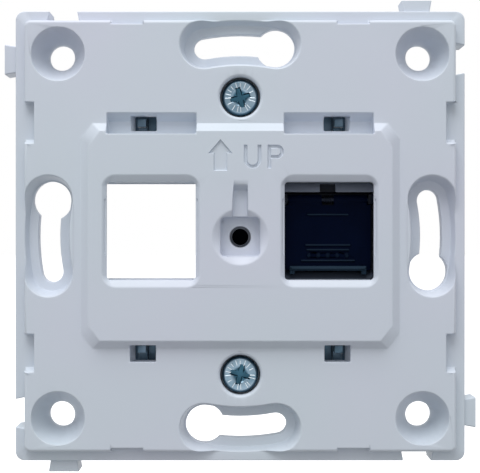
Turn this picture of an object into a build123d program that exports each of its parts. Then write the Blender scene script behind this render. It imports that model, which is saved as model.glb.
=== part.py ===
from build123d import *
import math
import os

# Two-port data socket insert for a flush wall box: a square moulded mounting plate
# with an empty module port on the left and a shuttered eight-way jack on the right.
# Everything is drawn on a bench plane: X to the right, Y up the wall, Z out of the wall,
# with Z = 0 on the wall. The last step stands it up, so that the front looks along -Y.

# Plate outline
gang_pitch = 71.0
gang_clearance = 0.4
plate_side = gang_pitch - gang_clearance
plate_corner_r = 1.4
flange_height = 5.0
ledge_width = 1.6
body_corner_r = 0.9
body_height = 6.5
body_edge_r = 0.5
face_wall = 2.0
skirt_wall = 1.8

# Raised platform around the ports
platform_base_w = 49.7
platform_base_h = 35.1
platform_slope = 1.25
platform_rise = 1.2
platform_hollow = 0.5
platform_cut_x = 1.8
platform_cut_y = 2.4

# Countersunk corner holes
corner_hole_pitch = 56.9
corner_hole_d = 4.1
corner_rim_d = 8.35
corner_rim_depth = 1.0
corner_hole_land = 1.7
corner_post_wall = 1.3

# Arc keyholes for the wall box screws
box_screw_pitch = 60.4
keyhole_half_angle = 10.7
keyhole_slot_w = 3.4
keyhole_head_d = 6.2
keyhole_pocket_w = 7.7
keyhole_pocket_floor_w = 6.3
keyhole_pocket_shift = 0.3
keyhole_floor_height = 3.6
keyhole_floor_wall = 2.0
keyhole_pocket_wall = 1.0

# Dovetail ganging tabs and the notches that take a neighbour's tabs
tab_offset = 27.8
tab_reach = 1.85
tab_tip_w = 4.8
tab_root_w = 4.15
tab_clearance = 0.08
tab_front_gap = 0.6

# Snap recesses for the cover frame, in the body's edges
snap_side_depth = 1.55
snap_side_upper = (14.4, 20.9)
snap_side_lower = (-21.3, -15.3)
snap_end_slope = 0.65
snap_top_depth = 0.6
snap_top_span = (15.2, 20.2)

# Module ports
port_offset_x = 13.85
port_centre_y = 0.78
port_w = 13.85
port_h = 15.25
port_corner_r = 0.6
port_rim_chamfer = 0.7
port_rim_rise = 1.1
port_rim_corner_r = 2.2
port_lip_depth = 1.3
port_tunnel_w = 14.7
port_rail_w = 1.3
catch_pocket = 1.6
catch_ledge_front = 0.0
port_box_back = -1.6
side_step_depth = 0.35
side_step_span = (-2.85, 5.65)

# Central cover-screw seat
dish_d = 8.7
dish_floor_d = 5.6
dish_depth = 1.15
seat_side = 6.1
seat_corner_r = 0.7
seat_depth = 2.6
seat_offset_y = -0.15
seat_end_wall = 1.2
finger_slot_w = 2.35
finger_slot_top = 8.0
finger_slot_depth = 1.5
finger_slot_slope = 0.9
finger_slot_flare = 0.75
finger_slot_flare_depth = 0.25
insert_outer_d = 3.25
insert_bore_d = 2.6
insert_length = 5.2
insert_fit = 0.01
insert_end_wall = 0.6

# Claw screws
screw_offset = 21.7
screw_d = 3.0
screw_head_d = 5.7
screw_head_h = 1.9
screw_head_edge = 0.4
screw_length = 18.0
screw_tip_chamfer = 0.5
screw_hole_gap = 0.2
screw_seat_gap = 0.02
counterbore_d = 6.3
counterbore_chamfer = 0.35
counterbore_floor = 3.8
counterbore_wall = 1.25
counterbore_floor_wall = 1.6
cross_w = 0.75
cross_span = 3.2
cross_depth = 1.3
cross_turn_deg = 15

# Windows that carry the claws, and the bearing bars behind them
claw_pivot_y = 17.85
upper_window_drop = 0.17
upper_window_h = 2.35
lower_window_drop = 0.48
lower_window_h = 2.67
window_inner_x = 13.15
window_outer_x = 17.2
window_slope = 0.65
bearing_bar_back = 3.1
bearing_bar_lap_x = 1.4
bearing_bar_lap_y = 0.45
wide_recess_inward = 6.3
wide_recess_outward = 3.6
wide_recess_below = 0.66
wide_recess_above = 0.41
wide_recess_floor = 4.7
wide_recess_slope = 1.25

# Ribs behind the plate, around the module ports
rib_w = 1.2
rib_back = 1.0

# Claws: one stamped and bent sheet each, a web with two toothed legs
claw_thickness = 1.4
claw_side_gap = 0.3
claw_nose_r = 0.7
claw_nose_flat = 0.3
claw_neck_half = 0.5
claw_neck_length = 2.9
claw_leg_inner_side = 1.6
claw_leg_outer_side = 2.6
claw_leg_length = 20.9
claw_tooth_reach = 5.2
claw_tooth_depth = 0.9
claw_tooth_pitch = 1.5
claw_tooth_count = 4
claw_web_drop = 4.4
claw_web_lug = 2.5
claw_web_half_w = 5.2
claw_web_margin = 0.8
claw_ear_r = 1.2
claw_slot_gap = 0.35
claw_swing_deg = 20.0

# Jack housing
jack_side_gap = 0.15
jack_recess = 5.3
jack_depth = 12.0
latch_gap = 0.3
latch_thickness = 1.3
latch_ramp = 0.9
latch_lead = 1.5
latch_notch_w = 2.5
latch_notch_depth = 1.5
latch_root_length = 2.0
hook_reach = 1.2
hook_gap = 0.15
plug_w = 11.8
plug_h = 6.8
jack_floor_wall = 0.5
plug_key_w = 6.2
plug_key_h = 1.4
plug_key_tip_w = 3.4
plug_key_tip_h = 0.6
plug_key_end_wall = 1.5
sill_h = 1.2
sill_lead = 1.3
sill_gap = 0.2
sill_bevel = 0.9
jack_edge_r = 0.4

# Jack shutter and its hinge
shutter_gap = 0.3
shutter_thickness = 1.1
shutter_side_gap = 0.4
hinge_drop = 0.1
hinge_gap = 0.12
barrel_r = 0.75
pin_d = 0.9
pin_run_gap = 0.04
pin_press_gap = 0.01
ear_thickness = 0.8
ear_gap = 0.15
spring_gap_w = 1.9
lip_reach = 1.0
lip_h = 0.75
lip_half_w = 6.05
lip_bevel = 0.35
lip_leg_w = 0.8
lip_leg_drop = 0.55
lip_leg_gap = 0.2
shutter_rib_h = 0.3
shutter_rib_reach = 0.22
shutter_rib_rises = (1.62, 3.32, 4.07, 8.88)
shutter_rib_half_widths = (4.3, 3.4, 3.6, 3.3)
shutter_pip_d = 0.7
shutter_pip_reach = 0.2
shutter_pip_rise = 2.43
shutter_pip_pitch = 1.5
shutter_pip_count = 5

# Shutter spring
spring_wire_d = 0.2
spring_coil_r = 0.62
spring_turns = 4
spring_coil_pitch = 0.34
spring_wire_sides = 8
spring_leg = 0.75

# Contacts, sled and circuit board
contact_count = 8
contact_pitch = 1.02
contact_w = 0.35
contact_thickness = 0.3
contact_lift = 1.0
contact_setback = 1.8
contact_drop = 2.8
contact_spring_length = 6.2
contact_tail = 0.5
contact_room = 0.6
contact_cover = 1.2
sled_length = 3.2
sled_h = 2.1
sled_w = 9.4
board_thickness = 1.0
board_w = 13.2
board_h = 12.6
board_hole_gap = 0.12
board_hole_sides = 8

# Wire terminal block and its forked blades
terminal_depth = 8.0
terminal_base = 1.9
tail_gap = 0.25
terminal_row_x = 4.9
terminal_row_w = 3.2
terminal_count = 4
terminal_pitch = 2.95
wire_slot_w = 0.9
wire_slot_depth = 4.6
wire_lead_w = 1.8
wire_lead_depth = 1.0
peg_d = 0.9
peg_gap = 0.05
peg_depth = 1.5
peg_top_x = 1.9
peg_low_x = 5.75
blade_thickness = 0.5
blade_w = 1.9
blade_length = 5.4
blade_slot_w = 0.35
blade_slot_depth = 3.0
blade_pin_w = 0.6
blade_pocket_gap = 0.06

# Values worked out from the sizes above
body_side = plate_side - 2 * ledge_width
jack_w = port_tunnel_w - 2 * jack_side_gap
jack_x = port_offset_x
port_low = port_centre_y - port_h / 2
port_high = port_centre_y + port_h / 2
body_back = body_height - face_wall
platform_height = body_height + platform_rise
platform_back = body_back + platform_hollow
jack_front = platform_height - jack_recess
jack_back = jack_front - jack_depth
jack_bottom = port_low + jack_side_gap
latch_high = port_high - jack_side_gap
latch_low = latch_high - latch_thickness
latch_front = jack_front + latch_lead
jack_top = latch_low - latch_gap
hook_back = catch_ledge_front + hook_gap
hook_front = platform_back - hook_gap
plug_bottom = jack_bottom + jack_floor_wall + plug_key_tip_h + plug_key_h
contact_y = plug_bottom + plug_h + contact_lift
contact_front = jack_front - contact_setback
board_bottom = port_centre_y - board_h / 2
board_top = port_centre_y + board_h / 2
board_front = jack_back
board_back = board_front - board_thickness
shutter_back = jack_front + shutter_gap
shutter_front = shutter_back + shutter_thickness
shutter_w = jack_w - 2 * shutter_side_gap
shutter_bottom = jack_bottom + sill_h
hinge_y = jack_top - barrel_r - hinge_drop
hinge_height = jack_front + barrel_r + hinge_gap
insert_top = platform_height - seat_depth
insert_low = insert_top - insert_length
upper_window_y = claw_pivot_y - upper_window_drop
lower_window_y = -claw_pivot_y - lower_window_drop
window_back_x = window_outer_x - window_slope
claw_x = window_back_x - claw_side_gap - claw_thickness / 2
claw_pivot_height = (wide_recess_floor + bearing_bar_back) / 2
claw_leg_inner = claw_pivot_y - claw_leg_inner_side
claw_leg_outer = claw_pivot_y + claw_leg_outer_side
claw_tooth_tip = claw_pivot_y + claw_tooth_reach
claw_tooth_root = claw_tooth_tip - claw_tooth_depth
claw_back = claw_pivot_height - claw_leg_length
claw_web_height = counterbore_floor - counterbore_floor_wall - claw_web_drop
claw_web_edge = screw_offset + claw_web_lug
peg_top_y = (contact_y + contact_cover + jack_top) / 2
peg_low_y = (board_bottom + plug_bottom) / 2


def block(x, y, z):
    """A box between two limits on each axis."""
    size = [high - low for low, high in (x, y, z)]
    centre = [(high + low) / 2 for low, high in (x, y, z)]
    return Pos(*centre) * Box(*size)


def rod(diameter, low, high, x=0, y=0):
    """A cylinder that stands on the bench plane between two heights."""
    return Pos(x, y, (low + high) / 2) * Cylinder(diameter / 2, high - low)


def cross_rod(radius, length, y, height):
    """A cylinder that lies along X, centred on the bench's middle plane."""
    return Pos(0, y, height) * Rot(0, 90, 0) * Cylinder(radius, length)


def slab(outline, low, high):
    """A flat outline given thickness between two heights."""
    return extrude(Pos(0, 0, low) * outline, high - low)


def four_ways(shape):
    """Four copies of a shape, a quarter turn apart about the plate's centre."""
    return [Rot(0, 0, 90 * turn) * shape for turn in range(4)]


def left_and_right(shape):
    """A shape and its mirror image across the plate's vertical centre line."""
    return [shape, mirror(shape, Plane.YZ)]


def dovetail(reach, root_w, tip_w):
    """A dovetail outline that grows to the right from the origin."""
    return make_face(
        Polyline(
            (0, -root_w / 2), (reach, -tip_w / 2), (reach, tip_w / 2), (0, root_w / 2), close=True
        )
    )


def cut_corner_outline(width, height):
    """A rectangle about the origin with the platform's cut corners."""
    x, y = width / 2, height / 2
    short_x, short_y = x - platform_cut_x, y - platform_cut_y
    corners = [(x, -short_y), (x, short_y), (short_x, y), (-short_x, y)]
    corners += [(-x, short_y), (-x, -short_y), (-short_x, -y), (short_x, -y)]
    return make_face(Polyline(*corners, close=True))


def keyhole_arc(width, outward=0):
    """The curved slot outline of the left keyhole, on the box-screw circle or outward of it."""
    start = 180 - keyhole_half_angle
    path = CenterArc((0, 0), box_screw_pitch / 2 + outward, start, 2 * keyhole_half_angle)
    return SlotArc(path, width)


def keyhole_pocket():
    """The left keyhole's bowl, slot and round end, as one cutter."""
    bowl = loft(
        [
            Pos(0, 0, keyhole_floor_height) * keyhole_arc(keyhole_pocket_floor_w),
            Pos(0, 0, body_height) * keyhole_arc(keyhole_pocket_w, keyhole_pocket_shift),
        ]
    )
    slot = slab(keyhole_arc(keyhole_slot_w), 0, body_height)
    angle = math.radians(180 - keyhole_half_angle)
    radius = box_screw_pitch / 2
    head = rod(
        keyhole_head_d, 0, body_height, radius * math.cos(angle), radius * math.sin(angle)
    )
    return bowl + slot + head


def keyhole_backing():
    """The wall of moulding behind the left keyhole's bowl."""
    outline = keyhole_arc(keyhole_pocket_w + 2 * keyhole_pocket_wall, keyhole_pocket_shift)
    wall = slab(outline, keyhole_floor_height - keyhole_floor_wall, body_back)
    inside = block(*[(-plate_side / 2, plate_side / 2)] * 2, (0, body_height))
    return wall & inside


def corner_post():
    """The post behind the upper right corner hole."""
    place = corner_hole_pitch / 2
    return rod(corner_rim_d + 2 * corner_post_wall, 0, body_back, place, place)


def corner_cutter():
    """The upper right corner hole with its rim and cone."""
    place = corner_hole_pitch / 2
    cone_top = body_height - corner_rim_depth
    cone = Pos(place, place, (cone_top + corner_hole_land) / 2) * Cone(
        corner_hole_d / 2, corner_rim_d / 2, cone_top - corner_hole_land
    )
    hole = rod(corner_hole_d, 0, corner_hole_land, place, place)
    return hole + cone + rod(corner_rim_d, cone_top, body_height, place, place)


def ganging_tab():
    """The dovetail tab on the right edge; the other three are quarter turns of it."""
    tab = Pos(plate_side / 2, -tab_offset) * dovetail(tab_reach, tab_root_w, tab_tip_w)
    return slab(tab, 0, flange_height - tab_front_gap)


def ganging_notch():
    """The notch on the right edge that takes a neighbour's tab."""
    root, tip = tab_root_w + 2 * tab_clearance, tab_tip_w + 2 * tab_clearance
    notch = Pos(plate_side / 2, tab_offset) * Rot(0, 0, 180) * dovetail(ledge_width, root, tip)
    return slab(notch, 0, flange_height)


def port_frame():
    """The wall box behind the right-hand port that a module snaps into."""
    x_half = port_tunnel_w / 2 + port_rail_w
    low = port_low - catch_pocket - port_rail_w
    high = port_high + catch_pocket + port_rail_w
    x = (port_offset_x - x_half, port_offset_x + x_half)
    return block(x, (low, high), (port_box_back, platform_back))


def port_cutter():
    """The right-hand port: its lip with a chamfered rim, the wider tunnel, pockets and side steps."""
    centre = Pos(port_offset_x, port_centre_y)
    window = centre * RectangleRounded(port_w, port_h, port_corner_r)
    rim_w = port_w + 2 * port_rim_chamfer
    rim_h = port_h + 2 * port_rim_rise
    rim = centre * RectangleRounded(rim_w, rim_h, port_rim_corner_r)
    rim_low = platform_height - port_rim_chamfer
    lip_back = platform_height - port_lip_depth
    sides = (port_offset_x - port_tunnel_w / 2, port_offset_x + port_tunnel_w / 2)
    tunnel = block(sides, (port_low, port_high), (port_box_back, lip_back))
    pocket_y = (port_low - catch_pocket, port_high + catch_pocket)
    pockets = block(sides, pocket_y, (catch_ledge_front, platform_back))
    step_half = port_w / 2 + side_step_depth
    step_x = (port_offset_x - step_half, port_offset_x + step_half)
    step = block(step_x, side_step_span, (rim_low, platform_height))
    lip = slab(window, lip_back, platform_height)
    flare = loft([Pos(0, 0, rim_low) * window, Pos(0, 0, platform_height) * rim])
    return tunnel + lip + flare + pockets + step


def screw_boss():
    """The boss behind the upper claw screw."""
    low = counterbore_floor - counterbore_floor_wall
    return rod(counterbore_d + 2 * counterbore_wall, low, body_back, 0, screw_offset)


def screw_cutter():
    """The counterbore, its chamfered mouth and the clearance hole of the upper claw screw."""
    hole_d = screw_d + 2 * screw_hole_gap
    bore = rod(counterbore_d, counterbore_floor, body_height, 0, screw_offset)
    mouth = Pos(0, screw_offset, body_height - counterbore_chamfer / 2) * Cone(
        counterbore_d / 2, counterbore_d / 2 + counterbore_chamfer, counterbore_chamfer
    )
    return bore + mouth + rod(hole_d, 0, counterbore_floor, 0, screw_offset)


def bearing_bar(window_y, window_h, inward=0, outward=0):
    """The thick bar behind one claw's right-hand window and the recess that may lie around it."""
    x = (
        window_inner_x - inward - bearing_bar_lap_x,
        window_outer_x + outward + bearing_bar_lap_x,
    )
    low = window_y - window_h / 2 - wide_recess_below - bearing_bar_lap_y
    high = window_y + window_h / 2 + wide_recess_above + bearing_bar_lap_y
    return block(x, (low, high), (bearing_bar_back, body_back))


def window_cutter(window_y, window_h):
    """The right-hand window of one claw, its outer side sloped beside the claw's nose."""
    top_view = Polyline(
        (window_inner_x, 0), (window_inner_x, platform_height), (window_outer_x, platform_height),
        (window_outer_x, wide_recess_floor), (window_back_x, bearing_bar_back), (window_back_x, 0),
        close=True,
    )
    return Pos(0, window_y) * extrude(Plane.XZ * make_face(top_view), window_h / 2, both=True)


def wide_recess():
    """The long sunk strip around the upper right-hand window, its upper side a slope."""
    low = upper_window_y - upper_window_h / 2 - wide_recess_below
    high = upper_window_y + upper_window_h / 2 + wide_recess_above
    side_view = Polyline(
        (low, wide_recess_floor), (high - wide_recess_slope, wide_recess_floor),
        (high, body_height), (high, platform_height), (low, platform_height), close=True,
    )
    length = wide_recess_inward + window_outer_x - window_inner_x + wide_recess_outward
    return Pos(window_inner_x - wide_recess_inward) * extrude(Plane.YZ * make_face(side_view), length)


def snap_recess(span):
    """A recess in the right-hand edge for the cover frame's catch, its lower end sloped."""
    low, high = span
    side_view = Polyline(
        (low, body_height), (low + snap_end_slope, flange_height), (high, flange_height),
        (high, body_height), close=True,
    )
    recess = extrude(Plane.YZ * make_face(side_view), snap_side_depth)
    return Pos(body_side / 2 - snap_side_depth) * recess


def stiffening_ribs():
    """The ribs behind the right-hand port: up and down to the claws' bars and out to the keyhole."""
    x = (port_offset_x - rib_w / 2, port_offset_x + rib_w / 2)
    z = (rib_back, body_back)
    upper_end = upper_window_y - upper_window_h / 2 - wide_recess_below
    lower_end = lower_window_y + lower_window_h / 2 + wide_recess_above
    ribs = block(x, (port_high + catch_pocket, upper_end), z)
    ribs += block(x, (lower_end, port_low - catch_pocket), z)
    side_x = (port_offset_x + port_tunnel_w / 2, (box_screw_pitch - keyhole_pocket_w) / 2)
    return ribs + block(side_x, (-rib_w / 2, rib_w / 2), z)


def seat_cutter():
    """The round dish, square seat and finger slot in the middle of the platform."""
    seat = Pos(0, seat_offset_y) * RectangleRounded(seat_side, seat_side, seat_corner_r)
    dish = Pos(0, seat_offset_y, platform_height - dish_depth / 2) * Cone(
        dish_floor_d / 2, dish_d / 2, dish_depth
    )
    square = slab(seat, insert_top, platform_height)
    slot_floor = platform_height - finger_slot_depth
    side_view = Polyline(
        (seat_offset_y, slot_floor),
        (finger_slot_top - finger_slot_slope, slot_floor),
        (finger_slot_top, platform_height - finger_slot_flare_depth),
        (finger_slot_top + finger_slot_flare, platform_height),
        (seat_offset_y, platform_height),
        close=True,
    )
    slot = extrude(Plane.YZ * make_face(side_view), finger_slot_w / 2, both=True)
    bore = rod(insert_outer_d + 2 * insert_fit, insert_low, platform_height, 0, seat_offset_y)
    return dish + square + slot + bore


def seat_post():
    """The post behind the cover-screw seat, which holds the threaded insert."""
    post_d = seat_side + 2 * corner_post_wall
    return rod(post_d, insert_low - seat_end_wall, insert_top, 0, seat_offset_y)


def mounting_plate():
    """The one-piece moulded plate."""
    flange = slab(RectangleRounded(plate_side, plate_side, plate_corner_r), 0, flange_height)
    body = slab(RectangleRounded(body_side, body_side, body_corner_r), flange_height, body_height)
    body = fillet(body.faces().sort_by(Axis.Z)[-1].edges(), body_edge_r)
    base = cut_corner_outline(platform_base_w, platform_base_h)
    top_w, top_h = platform_base_w - 2 * platform_slope, platform_base_h - 2 * platform_slope
    top = cut_corner_outline(top_w, top_h)
    platform = loft([Pos(0, 0, body_height) * base, Pos(0, 0, platform_height) * top], ruled=True)
    plate = flange + body + platform + four_ways(ganging_tab())

    inner = plate_side - 2 * skirt_wall
    lower_hollow = slab(Rectangle(inner, inner), 0, flange_height - face_wall)
    upper_side = body_side - 2 * skirt_wall
    upper_hollow = slab(Rectangle(upper_side, upper_side), flange_height - face_wall, body_back)
    under_w, under_h = platform_base_w - 2 * face_wall, platform_base_h - 2 * face_wall
    under_platform = slab(Rectangle(under_w, under_h), body_back, platform_back)
    plate = plate - lower_hollow - upper_hollow - under_platform

    screws = [screw_boss(), mirror(screw_boss(), Plane.XZ)]
    upper_bar = bearing_bar(upper_window_y, upper_window_h, wide_recess_inward, wide_recess_outward)
    bars = left_and_right(upper_bar)
    bars += left_and_right(bearing_bar(lower_window_y, lower_window_h))
    backing = four_ways(keyhole_backing()) + four_ways(corner_post())
    frames = left_and_right(port_frame()) + left_and_right(stiffening_ribs())
    plate = plate + backing + screws + bars + frames + seat_post()

    top_snap_y = (body_side / 2 - snap_top_depth, body_side / 2)
    top_snap = block(snap_top_span, top_snap_y, (flange_height, body_height))
    cutters = four_ways(keyhole_pocket()) + four_ways(corner_cutter()) + four_ways(ganging_notch())
    cutters += [screw_cutter(), mirror(screw_cutter(), Plane.XZ)]
    cutters += left_and_right(port_cutter()) + left_and_right(wide_recess())
    cutters += left_and_right(window_cutter(upper_window_y, upper_window_h))
    cutters += left_and_right(window_cutter(lower_window_y, lower_window_h))
    cutters += left_and_right(snap_recess(snap_side_upper))
    cutters += left_and_right(snap_recess(snap_side_lower))
    cutters += left_and_right(top_snap) + left_and_right(mirror(top_snap, Plane.XZ))
    return plate - cutters - seat_cutter()


def cover_screw_insert():
    """The blind threaded metal sleeve that takes the cover's screw."""
    sleeve = rod(insert_outer_d, insert_low, insert_top, 0, seat_offset_y)
    return sleeve - rod(insert_bore_d, insert_low + insert_end_wall, insert_top, 0, seat_offset_y)


def claw_screw():
    """The upper claw screw, with a cross recess in its pan head."""
    seat = counterbore_floor + screw_seat_gap
    head = rod(screw_head_d, seat, seat + screw_head_h)
    head = chamfer(head.edges().group_by(Axis.Z)[-1], screw_head_edge)
    shank = rod(screw_d, seat - screw_length, seat)
    shank = chamfer(shank.edges().group_by(Axis.Z)[0], screw_tip_chamfer)
    top = seat + screw_head_h
    arm = Pos(0, 0, top - cross_depth / 2) * Box(cross_span, cross_w, cross_depth)
    screw = head + shank - [Rot(0, 0, cross_turn_deg + turn) * arm for turn in (0, 90)]
    return Pos(0, screw_offset) * screw


def claw_leg_outline():
    """The side view of a claw's leg, Y across and Z along, from the nose to the teeth."""
    nose = claw_pivot_height
    neck = nose - claw_neck_length
    near, far = claw_pivot_y - claw_neck_half, claw_pivot_y + claw_neck_half
    tooth_top = claw_back + claw_tooth_count * claw_tooth_pitch
    points = [(near, nose), (near, neck), (claw_leg_inner, neck), (claw_leg_inner, claw_back)]
    for tooth in range(claw_tooth_count):
        height = claw_back + tooth * claw_tooth_pitch
        points.append((claw_tooth_tip, height))
        points.append((claw_tooth_root, height + claw_tooth_pitch))
    points.append((claw_leg_outer, tooth_top + claw_tooth_pitch))
    points += [(claw_leg_outer, neck), (far, neck), (far, nose)]
    return Polyline(*points, close=True)


def claw():
    """The upper claw: a web under its screw and a toothed leg at each side."""
    profile = Plane.YZ * make_face(claw_leg_outline())
    leg = extrude(profile, claw_thickness / 2, both=True)
    leg = leg + cross_rod(claw_nose_r, claw_thickness, claw_pivot_y, claw_pivot_height)
    nose_y = (claw_pivot_y - claw_nose_r, claw_pivot_y + claw_nose_r)
    nose_tip = (claw_pivot_height + claw_nose_flat, claw_pivot_height + claw_nose_r)
    leg = leg - block((-claw_thickness, claw_thickness), nose_y, nose_tip)
    leg = Pos(claw_x) * leg
    web_z = (claw_web_height - claw_thickness / 2, claw_web_height + claw_thickness / 2)
    strip_half = window_outer_x + claw_web_margin
    strip_outline = Pos(0, (claw_leg_inner + claw_leg_outer) / 2) * RectangleRounded(
        2 * strip_half, claw_leg_outer - claw_leg_inner, claw_ear_r
    )
    strip = slab(strip_outline, *web_z)
    tongue_outline = Pos(0, (claw_leg_inner + claw_web_edge) / 2) * RectangleRounded(
        2 * claw_web_half_w, claw_web_edge - claw_leg_inner, claw_thickness
    )
    tongue = slab(tongue_outline, *web_z)

    swing = math.radians(claw_swing_deg)
    reach = screw_offset - claw_pivot_y
    slot_ends = []
    for height in web_z:
        drop = height - claw_pivot_height
        slot_ends.append((reach + drop * math.sin(swing)) / math.cos(swing))
    inner_end = claw_pivot_y + min(slot_ends) - screw_d / 2 / math.cos(swing) - claw_slot_gap
    outer_end = screw_offset + screw_d / 2 + claw_slot_gap
    slot_w = screw_d + 2 * claw_slot_gap
    slot_outline = Pos(0, (inner_end + outer_end) / 2) * Rot(0, 0, 90) * SlotOverall(
        outer_end - inner_end, slot_w
    )
    slot = slab(slot_outline, *web_z)
    return leg + mirror(leg, Plane.YZ) + strip + tongue - slot


def plug_cavity():
    """The space for the plug, with the stepped keyway for its clip, as a cutter."""
    depth = (jack_back, jack_front)
    key_low = plug_bottom - plug_key_h
    key_depth = (jack_back + plug_key_end_wall, jack_front)
    main = block((-plug_w / 2, plug_w / 2), (plug_bottom, plug_bottom + plug_h), depth)
    key = block((-plug_key_w / 2, plug_key_w / 2), (key_low, plug_bottom), key_depth)
    tip_x = (-plug_key_tip_w / 2, plug_key_tip_w / 2)
    return main + key + block(tip_x, (key_low - plug_key_tip_h, key_low), key_depth)


def sled_limits():
    """The contact sled's limits: X, Y and Z."""
    y = (contact_y + contact_cover - sled_h, contact_y + contact_cover)
    return (-sled_w / 2, sled_w / 2), y, (jack_back, jack_back + sled_length)


def jack_housing():
    """The jack's moulded body, with its cantilever latch, fixed hook and hinge ears."""
    half = jack_w / 2
    body = block((-half, half), (jack_bottom, jack_top), (jack_back, jack_front))
    corners = body.edges().filter_by(Axis.Z).group_by(Axis.Y)[0]
    body = fillet(corners, jack_edge_r)
    latch_view = make_face(
        Polyline(
            (latch_low, jack_back), (latch_low, latch_front), (latch_high, latch_front - latch_ramp),
            (latch_high, jack_back), close=True
        )
    )
    latch = extrude(Plane.YZ * latch_view, half, both=True)
    latch = fillet(latch.edges().filter_by(Axis.Z).group_by(Axis.Y)[-1], jack_edge_r)
    notch_z = (latch_front - latch_notch_depth, latch_front)
    notch = block((-latch_notch_w / 2, latch_notch_w / 2), (latch_low, latch_high), notch_z)
    root = block((-half, half), (jack_top, latch_low), (jack_back, jack_back + latch_root_length))
    nub_outline = Plane.YZ * make_face(
        Polyline(
            (latch_high, hook_back), (latch_high + hook_reach, hook_back),
            (latch_high + hook_reach, hook_back + hook_reach),
            (latch_high, latch_front - latch_ramp), close=True
        )
    )
    nub = extrude(nub_outline, half - jack_edge_r, both=True)
    hook_x = (-half + jack_edge_r, half - jack_edge_r)
    hook = block(hook_x, (jack_bottom - hook_reach, jack_bottom), (hook_back, hook_front))
    sill_top = shutter_bottom - sill_gap
    sill = block((-half, half), (jack_bottom, sill_top), (jack_front, jack_front + sill_lead))
    sill = fillet(sill.edges().filter_by(Axis.Z).group_by(Axis.Y)[0], jack_edge_r)
    sill = chamfer(sill.edges().filter_by(Axis.X).group_by(Axis.Z)[-1].sort_by(Axis.Y)[-1], sill_bevel)
    ear_x = (half - ear_thickness, half)
    ear = block(ear_x, (hinge_y - barrel_r, jack_top), (jack_front, latch_front))
    ears = ear + mirror(ear, Plane.YZ)
    pin_hole = cross_rod(pin_d / 2 + pin_press_gap, jack_w, hinge_y, hinge_height)
    housing = body + latch + root + nub + hook + sill + ears - notch - pin_hole - plug_cavity()
    x, y, z = sled_limits()
    channel_y = (plug_bottom + plug_h / 2, contact_y + contact_cover)
    sled_channel = block(x, channel_y, (jack_back, contact_front + contact_room))
    sockets = [
        rod(peg_d + 2 * peg_gap, jack_back, jack_back + peg_depth + peg_gap, x, y) for x, y in peg_places()
    ]
    return Pos(jack_x) * (housing - sled_channel - sockets)


def jack_shutter():
    """The hinged flap over the plug cavity, with its barrel, finger lip and fine ribs."""
    half = shutter_w / 2
    panel = block((-half, half), (shutter_bottom, hinge_y), (shutter_back, shutter_front))
    panel = fillet(panel.edges().filter_by(Axis.Z).group_by(Axis.Y)[0], jack_edge_r)
    inner = jack_w / 2 - ear_thickness - ear_gap
    relief_y = (hinge_y - barrel_r - ear_gap, hinge_y)
    relief = block((inner, half), relief_y, (shutter_back, shutter_front))
    barrel = cross_rod(barrel_r, 2 * inner, hinge_y, hinge_height)
    lip_y = (shutter_bottom, shutter_bottom + lip_h)
    lip = block((-lip_half_w, lip_half_w), lip_y, (shutter_front, shutter_front + lip_reach))
    lip = chamfer(lip.edges().group_by(Axis.Z)[-1], lip_bevel)
    leg_y = (shutter_bottom - lip_leg_drop, shutter_bottom + lip_h / 2)
    leg_z = (shutter_front + lip_leg_gap, shutter_front + lip_reach - lip_bevel)
    leg = block((lip_half_w - lip_leg_w, lip_half_w), leg_y, leg_z)
    ribs = []
    for rise, rib_half in zip(shutter_rib_rises, shutter_rib_half_widths):
        rib_y = (shutter_bottom + rise - shutter_rib_h / 2, shutter_bottom + rise + shutter_rib_h / 2)
        ribs.append(block((-rib_half, rib_half), rib_y, (shutter_front, shutter_front + shutter_rib_reach)))
    for index in range(shutter_pip_count):
        x = (index - (shutter_pip_count - 1) / 2) * shutter_pip_pitch
        top = shutter_front + shutter_pip_reach
        ribs.append(rod(shutter_pip_d, shutter_front, top, x, shutter_bottom + shutter_pip_rise))
    bore = cross_rod(pin_d / 2 + pin_run_gap, jack_w, hinge_y, hinge_height)
    spring_gap = block(
        (-spring_gap_w / 2, spring_gap_w / 2),
        (hinge_y - barrel_r - ear_gap, hinge_y + barrel_r),
        (hinge_height - barrel_r, hinge_height + barrel_r),
    )
    shutter = panel + barrel + lip + leg + mirror(leg, Plane.YZ) + ribs
    shutter = shutter - relief - mirror(relief, Plane.YZ) - bore - spring_gap
    return Pos(jack_x) * shutter


def shutter_pin():
    """The steel pin that the shutter turns on."""
    return Pos(jack_x) * cross_rod(pin_d / 2, jack_w, hinge_y, hinge_height)


def shutter_spring():
    """The torsion spring around the pin: a short coil and two straight legs."""
    length = spring_turns * spring_coil_pitch
    coil = Helix(spring_coil_pitch, length, spring_coil_r)
    start = coil @ 0
    wire = RegularPolygon(spring_wire_d / 2, spring_wire_sides)
    wound = sweep(Plane(origin=start, z_dir=coil % 0) * wire, path=coil, is_frenet=True)
    first_leg = extrude(Plane(origin=start, z_dir=coil % 0) * wire, -spring_leg)
    last_leg = extrude(Plane(origin=coil @ 1, z_dir=coil % 1) * wire, spring_leg)
    lying = Rot(0, 90, 0) * Pos(0, 0, -length / 2) * (wound + first_leg + last_leg)
    return Pos(jack_x, hinge_y, hinge_height) * lying


def contact_x(index):
    """The place of one contact, counted from the left."""
    return jack_x + (index - (contact_count - 1) / 2) * contact_pitch


def contact_line():
    """The side view of a contact wire, from its tail to its sprung tip."""
    tail = (contact_y, board_back - contact_tail)
    bend = (contact_y, contact_front)
    return Polyline(tail, bend, (contact_y - contact_drop, contact_front - contact_spring_length))


def contact(index):
    """One sprung contact wire."""
    outline = Plane.YZ * trace(contact_line(), contact_thickness)
    return Pos(contact_x(index)) * extrude(outline, contact_w / 2, both=True)


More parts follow.
